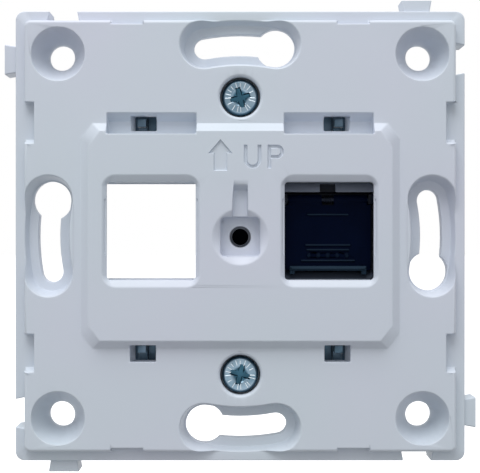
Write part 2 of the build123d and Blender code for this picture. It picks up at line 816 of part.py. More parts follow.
def contact_sled():
    """The moulded sled that spaces the contacts behind the plug cavity."""
    x, y, z = sled_limits()
    sled = Pos(jack_x) * block(x, y, z)
    grooves = []
    groove_y = (y[0], contact_y + contact_thickness / 2)
    for index in range(contact_count):
        x = contact_x(index)
        grooves.append(block((x - contact_w / 2, x + contact_w / 2), groove_y, z))
    return sled - grooves


def blade_places():
    """The middle of each terminal blade: side, X and Y."""
    middle = (terminal_count - 1) / 2
    places = []
    for side in (-1, 1):
        for row in range(terminal_count):
            y = port_centre_y + (row - middle) * terminal_pitch
            places.append((jack_x + side * terminal_row_x, y))
    return places


def peg_places():
    """The middle of each peg that locates the terminal block, X and Y from the jack's middle."""
    return [(side * peg_top_x, peg_top_y) for side in (-1, 1)] + [
        (side * peg_low_x, peg_low_y) for side in (-1, 1)
    ]


def jack_board():
    """The circuit board between the contacts and the terminal block."""
    half = board_w / 2
    board = block((jack_x - half, jack_x + half), (board_bottom, board_top), (board_back, board_front))
    holes = []
    tail_d = math.hypot(contact_w, contact_thickness) + 2 * board_hole_gap
    pin_hole_d = math.hypot(blade_pin_w, blade_thickness) + 2 * board_hole_gap
    places = [(tail_d, contact_x(index), contact_y) for index in range(contact_count)]
    places += [(pin_hole_d, x, y) for x, y in blade_places()]
    for diameter, x, y in places:
        hole = Pos(x, y) * RegularPolygon(diameter / 2, board_hole_sides, major_radius=False)
        holes.append(slab(hole, board_back, board_front))
    for x, y in peg_places():
        holes.append(rod(peg_d + 2 * peg_gap, board_back, board_front, jack_x + x, y))
    return board - holes


def terminal_block():
    """The rear moulding with a slotted tower of wire guides at each side."""
    back = board_back - terminal_depth
    base_low = board_back - terminal_base
    half = board_w / 2
    block_y = (board_bottom, board_top)
    moulding = block((jack_x - half, jack_x + half), block_y, (base_low, board_back))
    for side in (-1, 1):
        x = jack_x + side * terminal_row_x
        tower_x = (x - terminal_row_w / 2, x + terminal_row_w / 2)
        moulding = moulding + block(tower_x, block_y, (back, base_low))
    for x, y in peg_places():
        moulding = moulding + rod(peg_d, board_back, jack_back + peg_depth, jack_x + x, y)
    tail_x = (jack_x - sled_w / 2, jack_x + sled_w / 2)
    tail_half = contact_thickness / 2 + tail_gap
    tail_y = (contact_y - tail_half, contact_y + tail_half)
    cutters = [block(tail_x, tail_y, (board_back - contact_tail - tail_gap, board_back))]
    pocket = Box(
        blade_thickness + 2 * blade_pocket_gap,
        blade_w + 2 * blade_pocket_gap,
        blade_length + blade_pocket_gap,
        align=(Align.CENTER, Align.CENTER, Align.MAX),
    )
    slot = Box(
        2 * terminal_row_w, wire_slot_w, wire_slot_depth, align=(Align.CENTER, Align.CENTER, Align.MIN)
    )
    lead_view = make_face(
        Polyline((-wire_lead_w / 2, 0), (wire_lead_w / 2, 0), (0, wire_lead_depth), close=True)
    )
    lead = extrude(Plane.YZ * lead_view, terminal_row_w, both=True)
    for x, y in blade_places():
        cutters.append(Pos(x, y, board_back) * pocket)
        cutters.append(Pos(x, y, back) * (slot + lead))
    return moulding - cutters


def terminal_blade(place):
    """One forked blade that cuts into a wire, with a pin through the board."""
    low = board_back - blade_length
    x = (-blade_thickness / 2, blade_thickness / 2)
    fork = block(x, (-blade_w / 2, blade_w / 2), (low, board_back))
    gap = block(x, (-blade_slot_w / 2, blade_slot_w / 2), (low, low + blade_slot_depth))
    pin = block(x, (-blade_pin_w / 2, blade_pin_w / 2), (board_back, board_front))
    return Pos(*place) * (fork - gap + pin)


def build_nodes():
    """Every named piece, on the bench plane."""
    nodes = {
        "mounting_plate": mounting_plate(),
        "cover_screw_insert": cover_screw_insert(),
        "claw_screw_upper": claw_screw(),
        "claw_screw_lower": mirror(claw_screw(), Plane.XZ),
        "claw_upper": claw(),
        "claw_lower": mirror(claw(), Plane.XZ),
        "jack_housing": jack_housing(),
        "jack_shutter": jack_shutter(),
        "shutter_pin": shutter_pin(),
        "shutter_spring": shutter_spring(),
        "contact_sled": contact_sled(),
        "jack_board": jack_board(),
        "terminal_block": terminal_block(),
    }
    for index in range(contact_count):
        nodes[f"contact_{index + 1}"] = contact(index)
    for index, place in enumerate(blade_places()):
        nodes[f"terminal_blade_{index + 1}"] = terminal_blade(place)
    return nodes


os.makedirs("parts", exist_ok=True)
stand_up = Rot(90, 0, 0)
for name, shape in build_nodes().items():
    export_step(stand_up * shape, f"parts/{name}.step")
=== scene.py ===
"""Finish, light and camera for a two-port data socket insert.

The mounting plate, the claws, their screws and the jack's housing and shutter are replaced by
copies of their solids with softened edges. The plate also gets its relief, and each screw its
thread and ribs. Every other piece keeps its own solid and gets its finish.
"""
import math

import bmesh
import bpy
from contextlib import contextmanager
from functools import partial
from mathutils import Matrix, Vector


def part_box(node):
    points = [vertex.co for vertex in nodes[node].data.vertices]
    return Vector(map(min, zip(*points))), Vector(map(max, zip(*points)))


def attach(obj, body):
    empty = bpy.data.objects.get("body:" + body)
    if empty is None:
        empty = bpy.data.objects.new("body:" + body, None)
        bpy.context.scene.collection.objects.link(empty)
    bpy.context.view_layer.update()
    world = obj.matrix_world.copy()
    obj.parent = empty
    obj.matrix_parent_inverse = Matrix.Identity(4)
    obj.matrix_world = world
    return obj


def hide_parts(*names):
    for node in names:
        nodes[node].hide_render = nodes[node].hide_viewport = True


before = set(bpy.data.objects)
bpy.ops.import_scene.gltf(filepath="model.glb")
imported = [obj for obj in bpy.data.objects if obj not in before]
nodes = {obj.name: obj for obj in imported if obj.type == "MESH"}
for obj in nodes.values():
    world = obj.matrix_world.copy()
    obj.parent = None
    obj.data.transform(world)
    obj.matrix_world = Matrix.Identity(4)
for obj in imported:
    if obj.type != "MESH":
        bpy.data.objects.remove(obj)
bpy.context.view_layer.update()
MM = 0.001

# View of the photograph
CAMERA_DISTANCE = 196.5 * MM
CAMERA_SIDE = -0.03 * MM
CAMERA_LIFT = -0.08 * MM
LENS_MM = 91.4
SENSOR_MM = 36.0
CLIP_START = 10 * MM

# Floor and light
FLOOR_DROP = 13 * MM
FLOOR_SIZE = 6.0
FLOOR_WHITE = 0.8
FLOOR_GLOW = 0.46
FLOOR_SHADE = 0.27
SKY_TOP = 0.93
SKY_BOTTOM = 0.42
KEY_POWER = 1.6
KEY_SIZE = 0.3
KEY_PLACE = (-0.06, -0.20, 0.425)

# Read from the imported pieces: the plate's lowest corner, its front and the screw heads' front
PLATE_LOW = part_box("mounting_plate")[0]
PLATFORM_FRONT = PLATE_LOW.y
SCREW_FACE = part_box("claw_screw_upper")[0].y

# Where painted highlights and painted shade start and end on the jack, the screw heads and the
# sleeve, in their own coordinates
LATCH_FOOT = 6.9 * MM
LATCH_NOTCH_FLOOR = -2.7 * MM
SILL_TOP = -5.6 * MM
SHUTTER_FACE = -3.8 * MM
BARREL_FOOT = 5.0 * MM
SHUTTER_RIB_RISE = 0.19 * MM
SHUTTER_RIB_SPREAD = 0.04 * MM
PALE_SPREAD = 0.06 * MM
HEAD_SKIN = 0.02 * MM
HEAD_DARK_DEPTH = 0.3 * MM
SLEEVE_SKIN = 0.1 * MM
SLEEVE_DARK_DEPTH = 0.8 * MM

# The empty port's outer wall, which widens towards the back
TUNNEL_WALL = -21.2 * MM
TUNNEL_STEP = 0.3 * MM
TUNNEL_DRAFT = 0.6 * MM
TUNNEL_FRONT, TUNNEL_BACK = -6.0 * MM, 1.8 * MM
PORT_LOW, PORT_HIGH = -6.845 * MM, 8.405 * MM

# The deep end of the gap under the jack's latch
ROOT_INSET = 0.03 * MM
ROOT_LOW, ROOT_HIGH = 6.6 * MM, 7.0 * MM
ROOT_FRONT, ROOT_BACK = -0.9 * MM, 8.0 * MM

# Relief on the platform: the arrow and the two letters beside it
RELIEF_DEPTH = 0.32 * MM
RELIEF_DRAFT = 0.15 * MM
CUTTER_CLEAR = 0.2 * MM
ARROW_X = -3.06 * MM
ARROW_TOP = 14.8 * MM
ARROW_SHOULDER = 12.95 * MM
ARROW_FOOT = 10.25 * MM
ARROW_HEAD_HALF = 1.6 * MM
ARROW_SHAFT_HALF = 0.92 * MM
LETTER_TOP = 14.15 * MM
LETTER_FOOT = 10.45 * MM
LETTER_FLOOR = 0.3 * MM
U_LEFT, U_RIGHT = 0.85 * MM, 3.0 * MM
P_LEFT, P_RIGHT = 4.53 * MM, 6.5 * MM
P_BOWL_FOOT = 12.25 * MM
ARC_STEPS = 14

# Softened edges
MERGE_GAP = 0.002 * MM
PLATE_EDGE = 0.18 * MM
MOULDING_EDGE = 0.1 * MM
STEEL_EDGE = 0.09 * MM
EDGE_STEPS = 2
EDGE_ANGLE = math.radians(32)
SMOOTH_ANGLE = math.radians(50)
FLAT_ANGLE = math.radians(0.4)

# Claw screws: the head, the rolled thread and the radial ribs around the cross
HEAD_DEPTH = 1.9 * MM
HEAD_CUT = 0.02 * MM
SHANK_SUNK = 0.4 * MM
SHANK_R = 1.5 * MM
SHANK_TIP = 0.5 * MM
THREAD_PITCH = 0.5 * MM
THREAD_DEPTH = 0.16 * MM
THREAD_SIDES = 28
THREAD_ROWS = 150
MOUTH_FLOOR_R = 0.75 * MM
MOUTH_DEPTH = 0.45 * MM
MOUTH_DRAFT = 0.6 * MM
RIB_COUNT = 17
RIB_SIDES = 8
RIB_R = 0.1 * MM
RIB_INNER = 1.4 * MM
RIB_LENGTH = 1.05 * MM
RIB_LEAN = 0.12
RIB_SHORTEST = 0.5
RIB_SEED = 4

# Sprung contacts of the jack, and as many forked blades
CONTACT_COUNT = 8


def node_inputs(node, **values):
    """Sets a node's sockets by name; an underscore in a name stands for a space."""
    for name, value in values.items():
        node.inputs[name.replace("_", " ")].default_value = value


class Finish:
    """A material being built: its nodes, its shader and the piece's own coordinates."""

    def __init__(self, name):
        self.material = bpy.data.materials.new(name)
        self.material.use_nodes = True
        self.tree = self.material.node_tree
        self.shader = self.tree.nodes["Principled BSDF"]
        self.coords = self.tree.nodes.new("ShaderNodeTexCoord").outputs["Object"]

    def add(self, kind, **settings):
        """A new node with its settings."""
        node = self.tree.nodes.new(kind)
        for name, value in settings.items():
            setattr(node, name, value)
        return node

    def link(self, start, end):
        """Joins an output to an input."""
        self.tree.links.new(start, end)

    def noise(self, scale, detail=2.0, roughness=0.5, stretch=None):
        """A noise pattern in the piece's own metres; a stretch under 1 draws out that axis."""
        node = self.add("ShaderNodeTexNoise")
        node_inputs(node, Scale=scale, Detail=detail, Roughness=roughness)
        place = self.coords
        if stretch:
            mapping = self.add("ShaderNodeMapping")
            mapping.inputs["Scale"].default_value = stretch
            self.link(place, mapping.inputs["Vector"])
            place = mapping.outputs["Vector"]
        self.link(place, node.inputs["Vector"])
        return node.outputs["Fac"]

    def blend_colour(self, fac, dark, light, low=0.3, high=0.7):
        """Colours the surface between two shades by a pattern."""
        ramp = self.add("ShaderNodeValToRGB")
        ramp.color_ramp.elements[0].position = low
        ramp.color_ramp.elements[0].color = (*dark, 1)
        ramp.color_ramp.elements[1].position = high
        ramp.color_ramp.elements[1].color = (*light, 1)
        self.link(fac, ramp.inputs["Fac"])
        self.link(ramp.outputs["Color"], self.shader.inputs["Base Color"])

    def step(self, axis, start, end):
        """A pattern that rises from 0 to 1 between two places along one of the piece's axes."""
        split = self.add("ShaderNodeSeparateXYZ")
        self.link(self.coords, split.inputs[0])
        rise = self.add("ShaderNodeMapRange")
        node_inputs(rise, From_Min=start, From_Max=end)
        self.link(split.outputs[axis], rise.inputs["Value"])
        return rise.outputs["Result"]

    def overlay(self, fac, colour):
        """Lays another colour over the surface where a pattern is strong."""
        socket = self.shader.inputs["Base Color"]
        mix = self.add("ShaderNodeMixRGB")
        mix.inputs["Color2"].default_value = (*colour, 1)
        self.link(fac, mix.inputs["Fac"])
        self.link(socket.links[0].from_socket, mix.inputs["Color1"])
        self.link(mix.outputs["Color"], socket)

    def product(self, first, second):
        """A pattern that is strong only where two patterns are."""
        both = self.add("ShaderNodeMath", operation="MULTIPLY")
        self.link(first, both.inputs[0])
        self.link(second, both.inputs[1])
        return both.outputs["Value"]

    def vary_roughness(self, fac, low, high):
        """Varies the roughness between two values by a pattern."""
        spread = self.add("ShaderNodeMapRange")
        node_inputs(spread, To_Min=low, To_Max=high)
        self.link(fac, spread.inputs["Value"])
        self.link(spread.outputs["Result"], self.shader.inputs["Roughness"])

    def bump(self, height, depth, strength=1.0):
        """Raises the surface by a pattern, to a depth in metres."""
        bump = self.add("ShaderNodeBump")
        node_inputs(bump, Strength=strength, Distance=depth)
        self.link(height, bump.inputs["Height"])
        self.link(bump.outputs["Normal"], self.shader.inputs["Normal"])


def plate_white():
    """White moulded plastic with a fine satin grain and a faint cool cast."""
    finish = Finish("plate_white")
    cloud = finish.noise(scale=38.0, detail=1.0)
    finish.blend_colour(cloud, dark=(0.562, 0.632, 0.7), light=(0.585, 0.62, 0.717))
    finish.vary_roughness(finish.noise(scale=900.0, detail=3.0), low=0.4, high=0.52)
    finish.bump(finish.noise(scale=5200.0), depth=0.004 * MM, strength=0.5)
    node_inputs(finish.shader, Specular_IOR_Level=0.4)
    return finish.material


def jack_black(name, dark, light, gloss):
    """The start of both jack finishes: near-black plastic with a blue cast and a matt grain."""
    finish = Finish(name)
    finish.blend_colour(finish.noise(scale=300.0), dark, light)
    finish.vary_roughness(finish.noise(scale=1400.0, detail=3.0), low=0.34, high=0.46)
    finish.bump(finish.noise(scale=6500.0), depth=0.003 * MM, strength=0.5)
    node_inputs(finish.shader, Specular_IOR_Level=gloss)
    return finish


def housing_black():
    """The housing's plastic, with a painted reflection on the sill and painted light on the front
    of the latch.
    """
    finish = jack_black(
        "housing_black", dark=(0.003, 0.0055, 0.012), light=(0.0045, 0.007, 0.015), gloss=0.1
    )
    # Painted reflection: the sill is coloured paler to stand in for the sheen on its front.
    sill = finish.step("Z", SILL_TOP + PALE_SPREAD, SILL_TOP - PALE_SPREAD)
    finish.overlay(sill, colour=(0.036, 0.046, 0.066))
    # Painted light: the latch's front is coloured pale grey to lift it out of the shade under the
    # port's top wall.
    above_gap = finish.step("Z", LATCH_FOOT - PALE_SPREAD, LATCH_FOOT + PALE_SPREAD)
    in_front = finish.step("Y", LATCH_NOTCH_FLOOR, LATCH_NOTCH_FLOOR - 2 * PALE_SPREAD)
    finish.overlay(finish.product(above_gap, in_front), colour=(0.29, 0.325, 0.4))
    return finish.material


def shutter_black():
    """The shutter's plastic, with painted highlights on its raised ribs and lip."""
    finish = jack_black(
        "shutter_black", dark=(0.0003, 0.0022, 0.0112), light=(0.0005, 0.0028, 0.0135), gloss=0.02
    )
    # Painted highlight: the tops of the ribs and the lip are coloured paler, as where light catches
    # them.
    rib_top = SHUTTER_FACE - SHUTTER_RIB_RISE
    raised = finish.step("Y", rib_top, rib_top - SHUTTER_RIB_SPREAD)
    under_hinge = finish.step("Z", BARREL_FOOT, BARREL_FOOT - PALE_SPREAD)
    finish.overlay(finish.product(raised, under_hinge), colour=(0.017, 0.032, 0.051))
    return finish.material


def zinc_plate(name, dark, light):
    """The start of both zinc finishes: blue zinc on steel, with drawn lines and cloudy colour."""
    finish = Finish(name)
    node_inputs(finish.shader, Metallic=1.0)
    finish.blend_colour(finish.noise(scale=420.0, detail=4.0), dark, light)
    lines = finish.noise(scale=700.0, detail=4.0, roughness=0.7, stretch=(1.0, 0.06, 1.0))
    finish.vary_roughness(lines, low=0.2, high=0.42)
    finish.bump(lines, depth=0.004 * MM, strength=0.6)
    return finish


def claw_zinc():
    """The claws' zinc, a darker copy of the screws' zinc as painted shade for the claws deep in
    their windows.
    """
    # Painted shade: the claws' colours are darker than the same zinc on the screws.
    return zinc_plate("claw_zinc", dark=(0.045, 0.078, 0.108), light=(0.08, 0.115, 0.155)).material


def screw_zinc():
    """The screws' zinc, with painted shade in the cross and on the flank and painted highlights on
    the raised ribs.
    """
    finish = zinc_plate("screw_zinc", dark=(0.13, 0.205, 0.265), light=(0.25, 0.33, 0.4))
    # Painted shade: the cross and the flank behind the head's face are coloured dark.
    painted_shade_behind_face = finish.step("Y", SCREW_FACE + HEAD_SKIN, SCREW_FACE + HEAD_DARK_DEPTH)
    finish.overlay(painted_shade_behind_face, colour=(0.034, 0.092, 0.135))
    # Painted highlight: the raised ribs in front of the head's face are coloured bright.
    painted_highlight_on_ribs = finish.step("Y", SCREW_FACE - HEAD_SKIN, SCREW_FACE - RIB_R)
    finish.overlay(painted_highlight_on_ribs, colour=(0.6, 0.67, 0.72))
    return finish.material


def dark_steel():
    """Dark plating on the cover screw's sleeve, with painted shade that makes it nearly black
    inside its bore.
    """
    finish = Finish("dark_steel")
    node_inputs(finish.shader, Metallic=1.0)
    cloud = finish.noise(scale=900.0, detail=3.0)
    finish.blend_colour(cloud, dark=(0.03, 0.035, 0.045), light=(0.07, 0.075, 0.09))
    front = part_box("cover_screw_insert")[0].y
    # Painted shade: the bore behind the sleeve's front is coloured nearly black.
    inside = finish.step("Y", front + SLEEVE_SKIN, front + SLEEVE_DARK_DEPTH)
    finish.overlay(inside, colour=(0.0008, 0.0012, 0.0025))
    finish.vary_roughness(finish.noise(scale=1500.0), low=0.3, high=0.5)
    return finish.material


def oiled_wire():
    """Dark oil-tempered spring wire, with streaks along its draw."""
    finish = Finish("oiled_wire")
    node_inputs(finish.shader, Metallic=1.0)
    streaks = finish.noise(scale=1500.0, detail=3.0, stretch=(0.1, 1.0, 1.0))
    finish.blend_colour(streaks, dark=(0.006, 0.008, 0.014), light=(0.014, 0.017, 0.026))
    finish.vary_roughness(streaks, low=0.34, high=0.5)
    return finish.material


def gold_plate():
    """Gold flash on the sprung contacts, with a soft wiped sheen."""
    finish = Finish("gold_plate")
    node_inputs(finish.shader, Metallic=1.0)
    wipe = finish.noise(scale=900.0, detail=3.0, stretch=(1.0, 0.15, 1.0))
    finish.blend_colour(wipe, dark=(0.72, 0.47, 0.16), light=(0.86, 0.62, 0.26))
    finish.vary_roughness(wipe, low=0.14, high=0.3)
    return finish.material


def tin_plate():
    """Matt tin on the forked terminal blades."""
    finish = Finish("tin_plate")
    node_inputs(finish.shader, Metallic=1.0)
    cloud = finish.noise(scale=1200.0, detail=3.0)
    finish.blend_colour(cloud, dark=(0.52, 0.52, 0.5), light=(0.68, 0.68, 0.66))
    finish.vary_roughness(cloud, low=0.3, high=0.46)
    return finish.material


def sled_black():
    """The dull black moulding that spaces the contacts."""
    finish = Finish("sled_black")
    cloud = finish.noise(scale=500.0)
    finish.blend_colour(cloud, dark=(0.012, 0.012, 0.014), light=(0.018, 0.018, 0.02))
    finish.vary_roughness(finish.noise(scale=1400.0), low=0.45, high=0.6)
    return finish.material


def board_green():
    """Green solder mask with a faint woven glass pattern under it."""
    finish = Finish("board_green")
    across = finish.add("ShaderNodeTexWave", bands_direction="X")
    up = finish.add("ShaderNodeTexWave", bands_direction="Z")
    for weave in (across, up):
        node_inputs(weave, Scale=420.0)
        finish.link(finish.coords, weave.inputs["Vector"])
    cloth = finish.product(across.outputs["Fac"], up.outputs["Fac"])
    finish.blend_colour(cloth, dark=(0.012, 0.09, 0.035), light=(0.02, 0.13, 0.05))
    finish.vary_roughness(finish.noise(scale=800.0), low=0.25, high=0.36)
    return finish.material


def terminal_grey():
    """Pale grey moulded plastic for the wire block, with a fine grain."""
    finish = Finish("terminal_grey")
    cloud = finish.noise(scale=120.0)
    finish.blend_colour(cloud, dark=(0.56, 0.57, 0.58), light=(0.62, 0.63, 0.64))
    finish.vary_roughness(finish.noise(scale=1100.0), low=0.38, high=0.5)
    finish.bump(finish.noise(scale=5200.0), depth=0.003 * MM, strength=0.5)
    return finish.material


@contextmanager
def editing(mesh):
    """Opens a mesh for changes and writes them back to it."""
    work = bmesh.new()
    work.from_mesh(mesh)
    yield work
    work.to_mesh(mesh)
    work.free()
    mesh.update()


def merge_close(work):
    """Merges points that lie together and takes out the slivers between them."""
    bmesh.ops.remove_doubles(work, verts=work.verts, dist=MERGE_GAP)
    bmesh.ops.dissolve_degenerate(work, dist=MERGE_GAP, edges=work.edges)


def tidy_faces(mesh):
    """Joins loose triangles and lays the flat faces out again in well-shaped triangles."""
    with editing(mesh) as work:
        merge_close(work)
        bmesh.ops.dissolve_limit(
            work, angle_limit=FLAT_ANGLE, verts=work.verts, edges=work.edges, delimit=set()
        )
        bmesh.ops.triangulate(work, faces=work.faces, ngon_method="BEAUTY")


def mark_corners(mesh):
    """Shades a mesh smooth, with a sharp mark on each real corner."""
    with editing(mesh) as work:
        for face in work.faces:
            face.smooth = True
        for edge in work.edges:
            edge.smooth = edge.calc_face_angle(0) < SMOOTH_ANGLE


def merged_copy(node):
    """A tidy copy of a solid's mesh, with no finish of its own."""
    mesh = nodes[node].data.copy()
    tidy_faces(mesh)
    mesh.materials.clear()
    return mesh


def new_piece(name, mesh):
    """A new object at the origin that holds the mesh."""
    piece = bpy.data.objects.new(name, mesh)
    bpy.context.scene.collection.objects.link(piece)
    return piece


def apply_modifiers(piece):
    """Turns a piece and its modifiers into one plain mesh."""
    bpy.context.view_layer.update()
    graph = bpy.context.evaluated_depsgraph_get()
    mesh = bpy.data.meshes.new_from_object(piece.evaluated_get(graph))
    piece.modifiers.clear()
    piece.data = mesh


def round_edges(piece, width):
    """Rounds a piece's sharp edges."""
    tidy_faces(piece.data)
    bevel = piece.modifiers.new("edges", "BEVEL")
    bevel.width = width
    bevel.segments = EDGE_STEPS
    bevel.limit_method = "ANGLE"
    bevel.angle_limit = EDGE_ANGLE
    bevel.use_clamp_overlap = False
    apply_modifiers(piece)
    with editing(piece.data) as work:
        merge_close(work)


def smooth_curves(piece):
    """Shades a piece's curves smooth and keeps its flats flat."""
    mark_corners(piece.data)
    normals = piece.modifiers.new("normals", "WEIGHTED_NORMAL")
    normals.keep_sharp = True
    apply_modifiers(piece)


def soften(piece, width):
    """Rounds a piece's sharp edges and shades its curves smooth."""
    round_edges(piece, width)
    smooth_curves(piece)


def drafted_block(name, wide, narrow, front, back):
    """A closed block between a wide outline of X and Z points and a narrow one behind it."""
    mesh = bpy.data.meshes.new(name)
    with editing(mesh) as work:
        near = [work.verts.new((x, front, z)) for x, z in wide]
        far = [work.verts.new((x, back, z)) for x, z in narrow]
        work.faces.new(near)
        work.faces.new(far)
        for index in range(len(wide)):
            work.faces.new((near[index - 1], near[index], far[index], far[index - 1]))
        bmesh.ops.recalc_face_normals(work, faces=work.faces)
        bmesh.ops.triangulate(work, faces=work.faces)
    return new_piece(name, mesh)


def stroke_outline(line, grow):
    """The outline of a letter's stroke along a line of X and Z points, grown on all sides."""
    width = LETTER_FLOOR + 2 * grow
    left, right = [], []
    for index, (x, z) in enumerate(line):
        before = line[max(index - 1, 0)]
        after = line[min(index + 1, len(line) - 1)]
        run, rise = after[0] - before[0], after[1] - before[1]
        length = math.hypot(run, rise)
        run, rise = run / length, rise / length
        past_end = grow * ((index == len(line) - 1) - (index == 0))
        x, z = x + run * past_end, z + rise * past_end
        left.append((x - rise * width / 2, z + run * width / 2))
        right.append((x + rise * width / 2, z - run * width / 2))
    return left + right[::-1]


def arc(centre, radius, start, end):
    """Points on an arc in X and Z, between two angles in degrees."""
    shares = [step / ARC_STEPS for step in range(ARC_STEPS + 1)]
    angles = [math.radians(start + (end - start) * share) for share in shares]
    return [(centre[0] + radius * math.cos(a), centre[1] + radius * math.sin(a)) for a in angles]


def arrow_outline(grow):
    """A plain arrow that points up, grown on all sides."""
    lean = math.atan2(ARROW_HEAD_HALF, ARROW_TOP - ARROW_SHOULDER)
    top = ARROW_TOP + grow / math.sin(lean)
    shoulder, foot = ARROW_SHOULDER - grow, ARROW_FOOT - grow
    head_half, shaft_half = (top - shoulder) * math.tan(lean), ARROW_SHAFT_HALF + grow
    return [
        (ARROW_X, top),
        (ARROW_X - head_half, shoulder),
        (ARROW_X - shaft_half, shoulder),
        (ARROW_X - shaft_half, foot),
        (ARROW_X + shaft_half, foot),
        (ARROW_X + shaft_half, shoulder),
        (ARROW_X + head_half, shoulder),
    ]


def letter_lines():
    """The centre lines of the two letters: one for the first, two for the second."""
    half = (U_RIGHT - U_LEFT) / 2
    stroke = LETTER_FLOOR + 2 * RELIEF_DRAFT
    top, foot = LETTER_TOP - RELIEF_DRAFT, LETTER_FOOT + RELIEF_DRAFT
    bowl = arc((U_LEFT + half, LETTER_FOOT + stroke / 2 + half), half, 180, 360)
    first = [(U_LEFT, top)] + bowl + [(U_RIGHT, top)]
    stem = [(P_LEFT, top), (P_LEFT, foot)]
    bowl_top = LETTER_TOP - stroke / 2
    bowl_r = (bowl_top - P_BOWL_FOOT) / 2
    bowl_x = P_RIGHT - bowl_r
    loop = [(P_LEFT, bowl_top)] + arc((bowl_x, bowl_top - bowl_r), bowl_r, 90, -90)
    return [first, stem, loop + [(P_LEFT, P_BOWL_FOOT)]]


def combine(piece, block, operation):
    """Cuts a block out of a piece, or welds it on."""
    change = piece.modifiers.new("change", "BOOLEAN")
    change.operation = operation
    change.solver = "EXACT"
    change.object = block
    apply_modifiers(piece)
    bpy.data.objects.remove(block)


def carve(piece, outline, face, depth, draft):
    """Sinks a recess with sloping walls; outline(grow) gives its floor, grown on all sides."""
    reach = draft * (1 + CUTTER_CLEAR / depth)
    cutter = drafted_block("cutter", outline(reach), outline(0), face - CUTTER_CLEAR, face + depth)
    combine(piece, cutter, "DIFFERENCE")


def rectangle(left, right, low, high):
    """The corners of a rectangle, as pairs."""
    return [(left, low), (right, low), (right, high), (left, high)]


def tunnel_draft():
    """The wedge that gives the empty port's outer wall its draft towards the back."""
    inner = TUNNEL_WALL + TUNNEL_STEP
    front = rectangle(TUNNEL_WALL, inner, PORT_LOW, PORT_HIGH)
    back = rectangle(TUNNEL_WALL - TUNNEL_DRAFT, inner, PORT_LOW, PORT_HIGH)
    return drafted_block("tunnel_draft", front, back, TUNNEL_FRONT, TUNNEL_BACK)


def plate_moulding(finish):
    """The plate with soft moulded edges, its arrow and its letters."""
    piece = new_piece("plate_moulding", merged_copy("mounting_plate"))
    combine(piece, tunnel_draft(), "DIFFERENCE")
    round_edges(piece, PLATE_EDGE)
    carve(piece, arrow_outline, PLATFORM_FRONT, RELIEF_DEPTH, RELIEF_DRAFT)
    for line in letter_lines():
        carve(piece, partial(stroke_outline, line), PLATFORM_FRONT, RELIEF_DEPTH, RELIEF_DRAFT)
    tidy_faces(piece.data)
    smooth_curves(piece)
    piece.data.materials.append(finish)
    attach(piece, "root")
    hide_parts("mounting_plate")


def softened_part(node, body, width, finish, added=None):
    """A part with softened edges, and with a block welded on first where one is given."""
    piece = new_piece(node + "_finished", merged_copy(node))
    if added:
        combine(piece, added, "UNION")
    soften(piece, width)
    piece.data.materials.append(finish)
    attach(piece, body)
    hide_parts(node)


def latch_root():
    """The deep end of the gap under the latch, closed so that no light comes through it."""
    low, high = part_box("jack_housing")
    outline = rectangle(low.x + ROOT_INSET, high.x - ROOT_INSET, ROOT_LOW, ROOT_HIGH)
    return drafted_block("latch_root", outline, outline, ROOT_FRONT, ROOT_BACK)


def closed_head(node):
    """A screw's head alone, closed just in front of its underside."""
    mesh = merged_copy(node)
    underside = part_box(node)[0].y + HEAD_DEPTH - HEAD_CUT
    with editing(mesh) as work:
        cut = bmesh.ops.bisect_plane(
            work,
            geom=work.verts[:] + work.edges[:] + work.faces[:],
            plane_co=(0, underside, 0),
            plane_no=(0, 1, 0),
            clear_outer=True,
        )
        rim = [item for item in cut["geom_cut"] if isinstance(item, bmesh.types.BMEdge)]
        bmesh.ops.holes_fill(work, edges=rim)
    return mesh


def mouth_outline(middle, grow):
    """The floor of the round mouth at a screw's cross, grown on all sides."""
    return arc((0, middle), MOUTH_FLOOR_R + grow, 0, 360)[:-1]


class Tree:
    """A Geometry Nodes tree being built, with named inputs."""

    def __init__(self, name):
        self.tree = bpy.data.node_groups.new(name, "GeometryNodeTree")
        sockets = self.tree.interface
        sockets.new_socket("Geometry", in_out="OUTPUT", socket_type="NodeSocketGeometry")
        self.source = self.tree.nodes.new("NodeGroupInput")
        self.target = self.tree.nodes.new("NodeGroupOutput")
        self.sockets = {}

    def named_input(self, name, kind="NodeSocketFloat"):
        """A new input of the tree."""
        socket = self.tree.interface.new_socket(name, in_out="INPUT", socket_type=kind)
        self.sockets[name] = socket.identifier
        return self.source.outputs[name]

    def add(self, kind, *inputs, **settings):
        """A new node with its settings; each input is a link, a value or None."""
        node = self.tree.nodes.new(kind)
        for name, value in settings.items():
            setattr(node, name, value)
        for socket, value in zip(node.inputs, inputs):
            if isinstance(value, bpy.types.NodeSocket):
                self.link(value, socket)
            elif value is not None:
                socket.default_value = value
        return node

    def link(self, start, end):
        """Joins an output to an input."""
        self.tree.links.new(start, end)

    def maths(self, operation, *inputs):
        """One step of arithmetic."""
        return self.add("ShaderNodeMath", *inputs, operation=operation).outputs["Value"]

    def random(self, low, high, seed):
        """A number between two others, its own for each copy."""
        node = self.add("FunctionNodeRandomValue")
        sockets = {socket.name: socket for socket in node.inputs if socket.enabled}
        sockets["Seed"].default_value = seed
        for name, value in {"Min": low, "Max": high}.items():
            if isinstance(value, bpy.types.NodeSocket):
                self.link(value, sockets[name])
            else:
                sockets[name].default_value = value
        return next(socket for socket in node.outputs if socket.enabled)

    def finish(self, geometry, material):
        """Ends the tree: plain geometry with its finish."""
        plain = self.add("GeometryNodeRealizeInstances", geometry)
        dressed = self.add("GeometryNodeSetMaterial")
        self.link(plain.outputs["Geometry"], dressed.inputs["Geometry"])
        self.link(material, dressed.inputs["Material"])
        self.link(dressed.outputs["Geometry"], self.target.inputs["Geometry"])

    def make(self, name, values):
        """The mesh that the tree makes with these sizes."""
        piece = new_piece(name, bpy.data.meshes.new(name))
        modifier = piece.modifiers.new(name, "NODES")
        modifier.node_group = self.tree
        for socket, value in values.items():
            modifier[self.sockets[socket]] = value
        apply_modifiers(piece)
        mesh = piece.data
        bpy.data.objects.remove(piece)
        return mesh


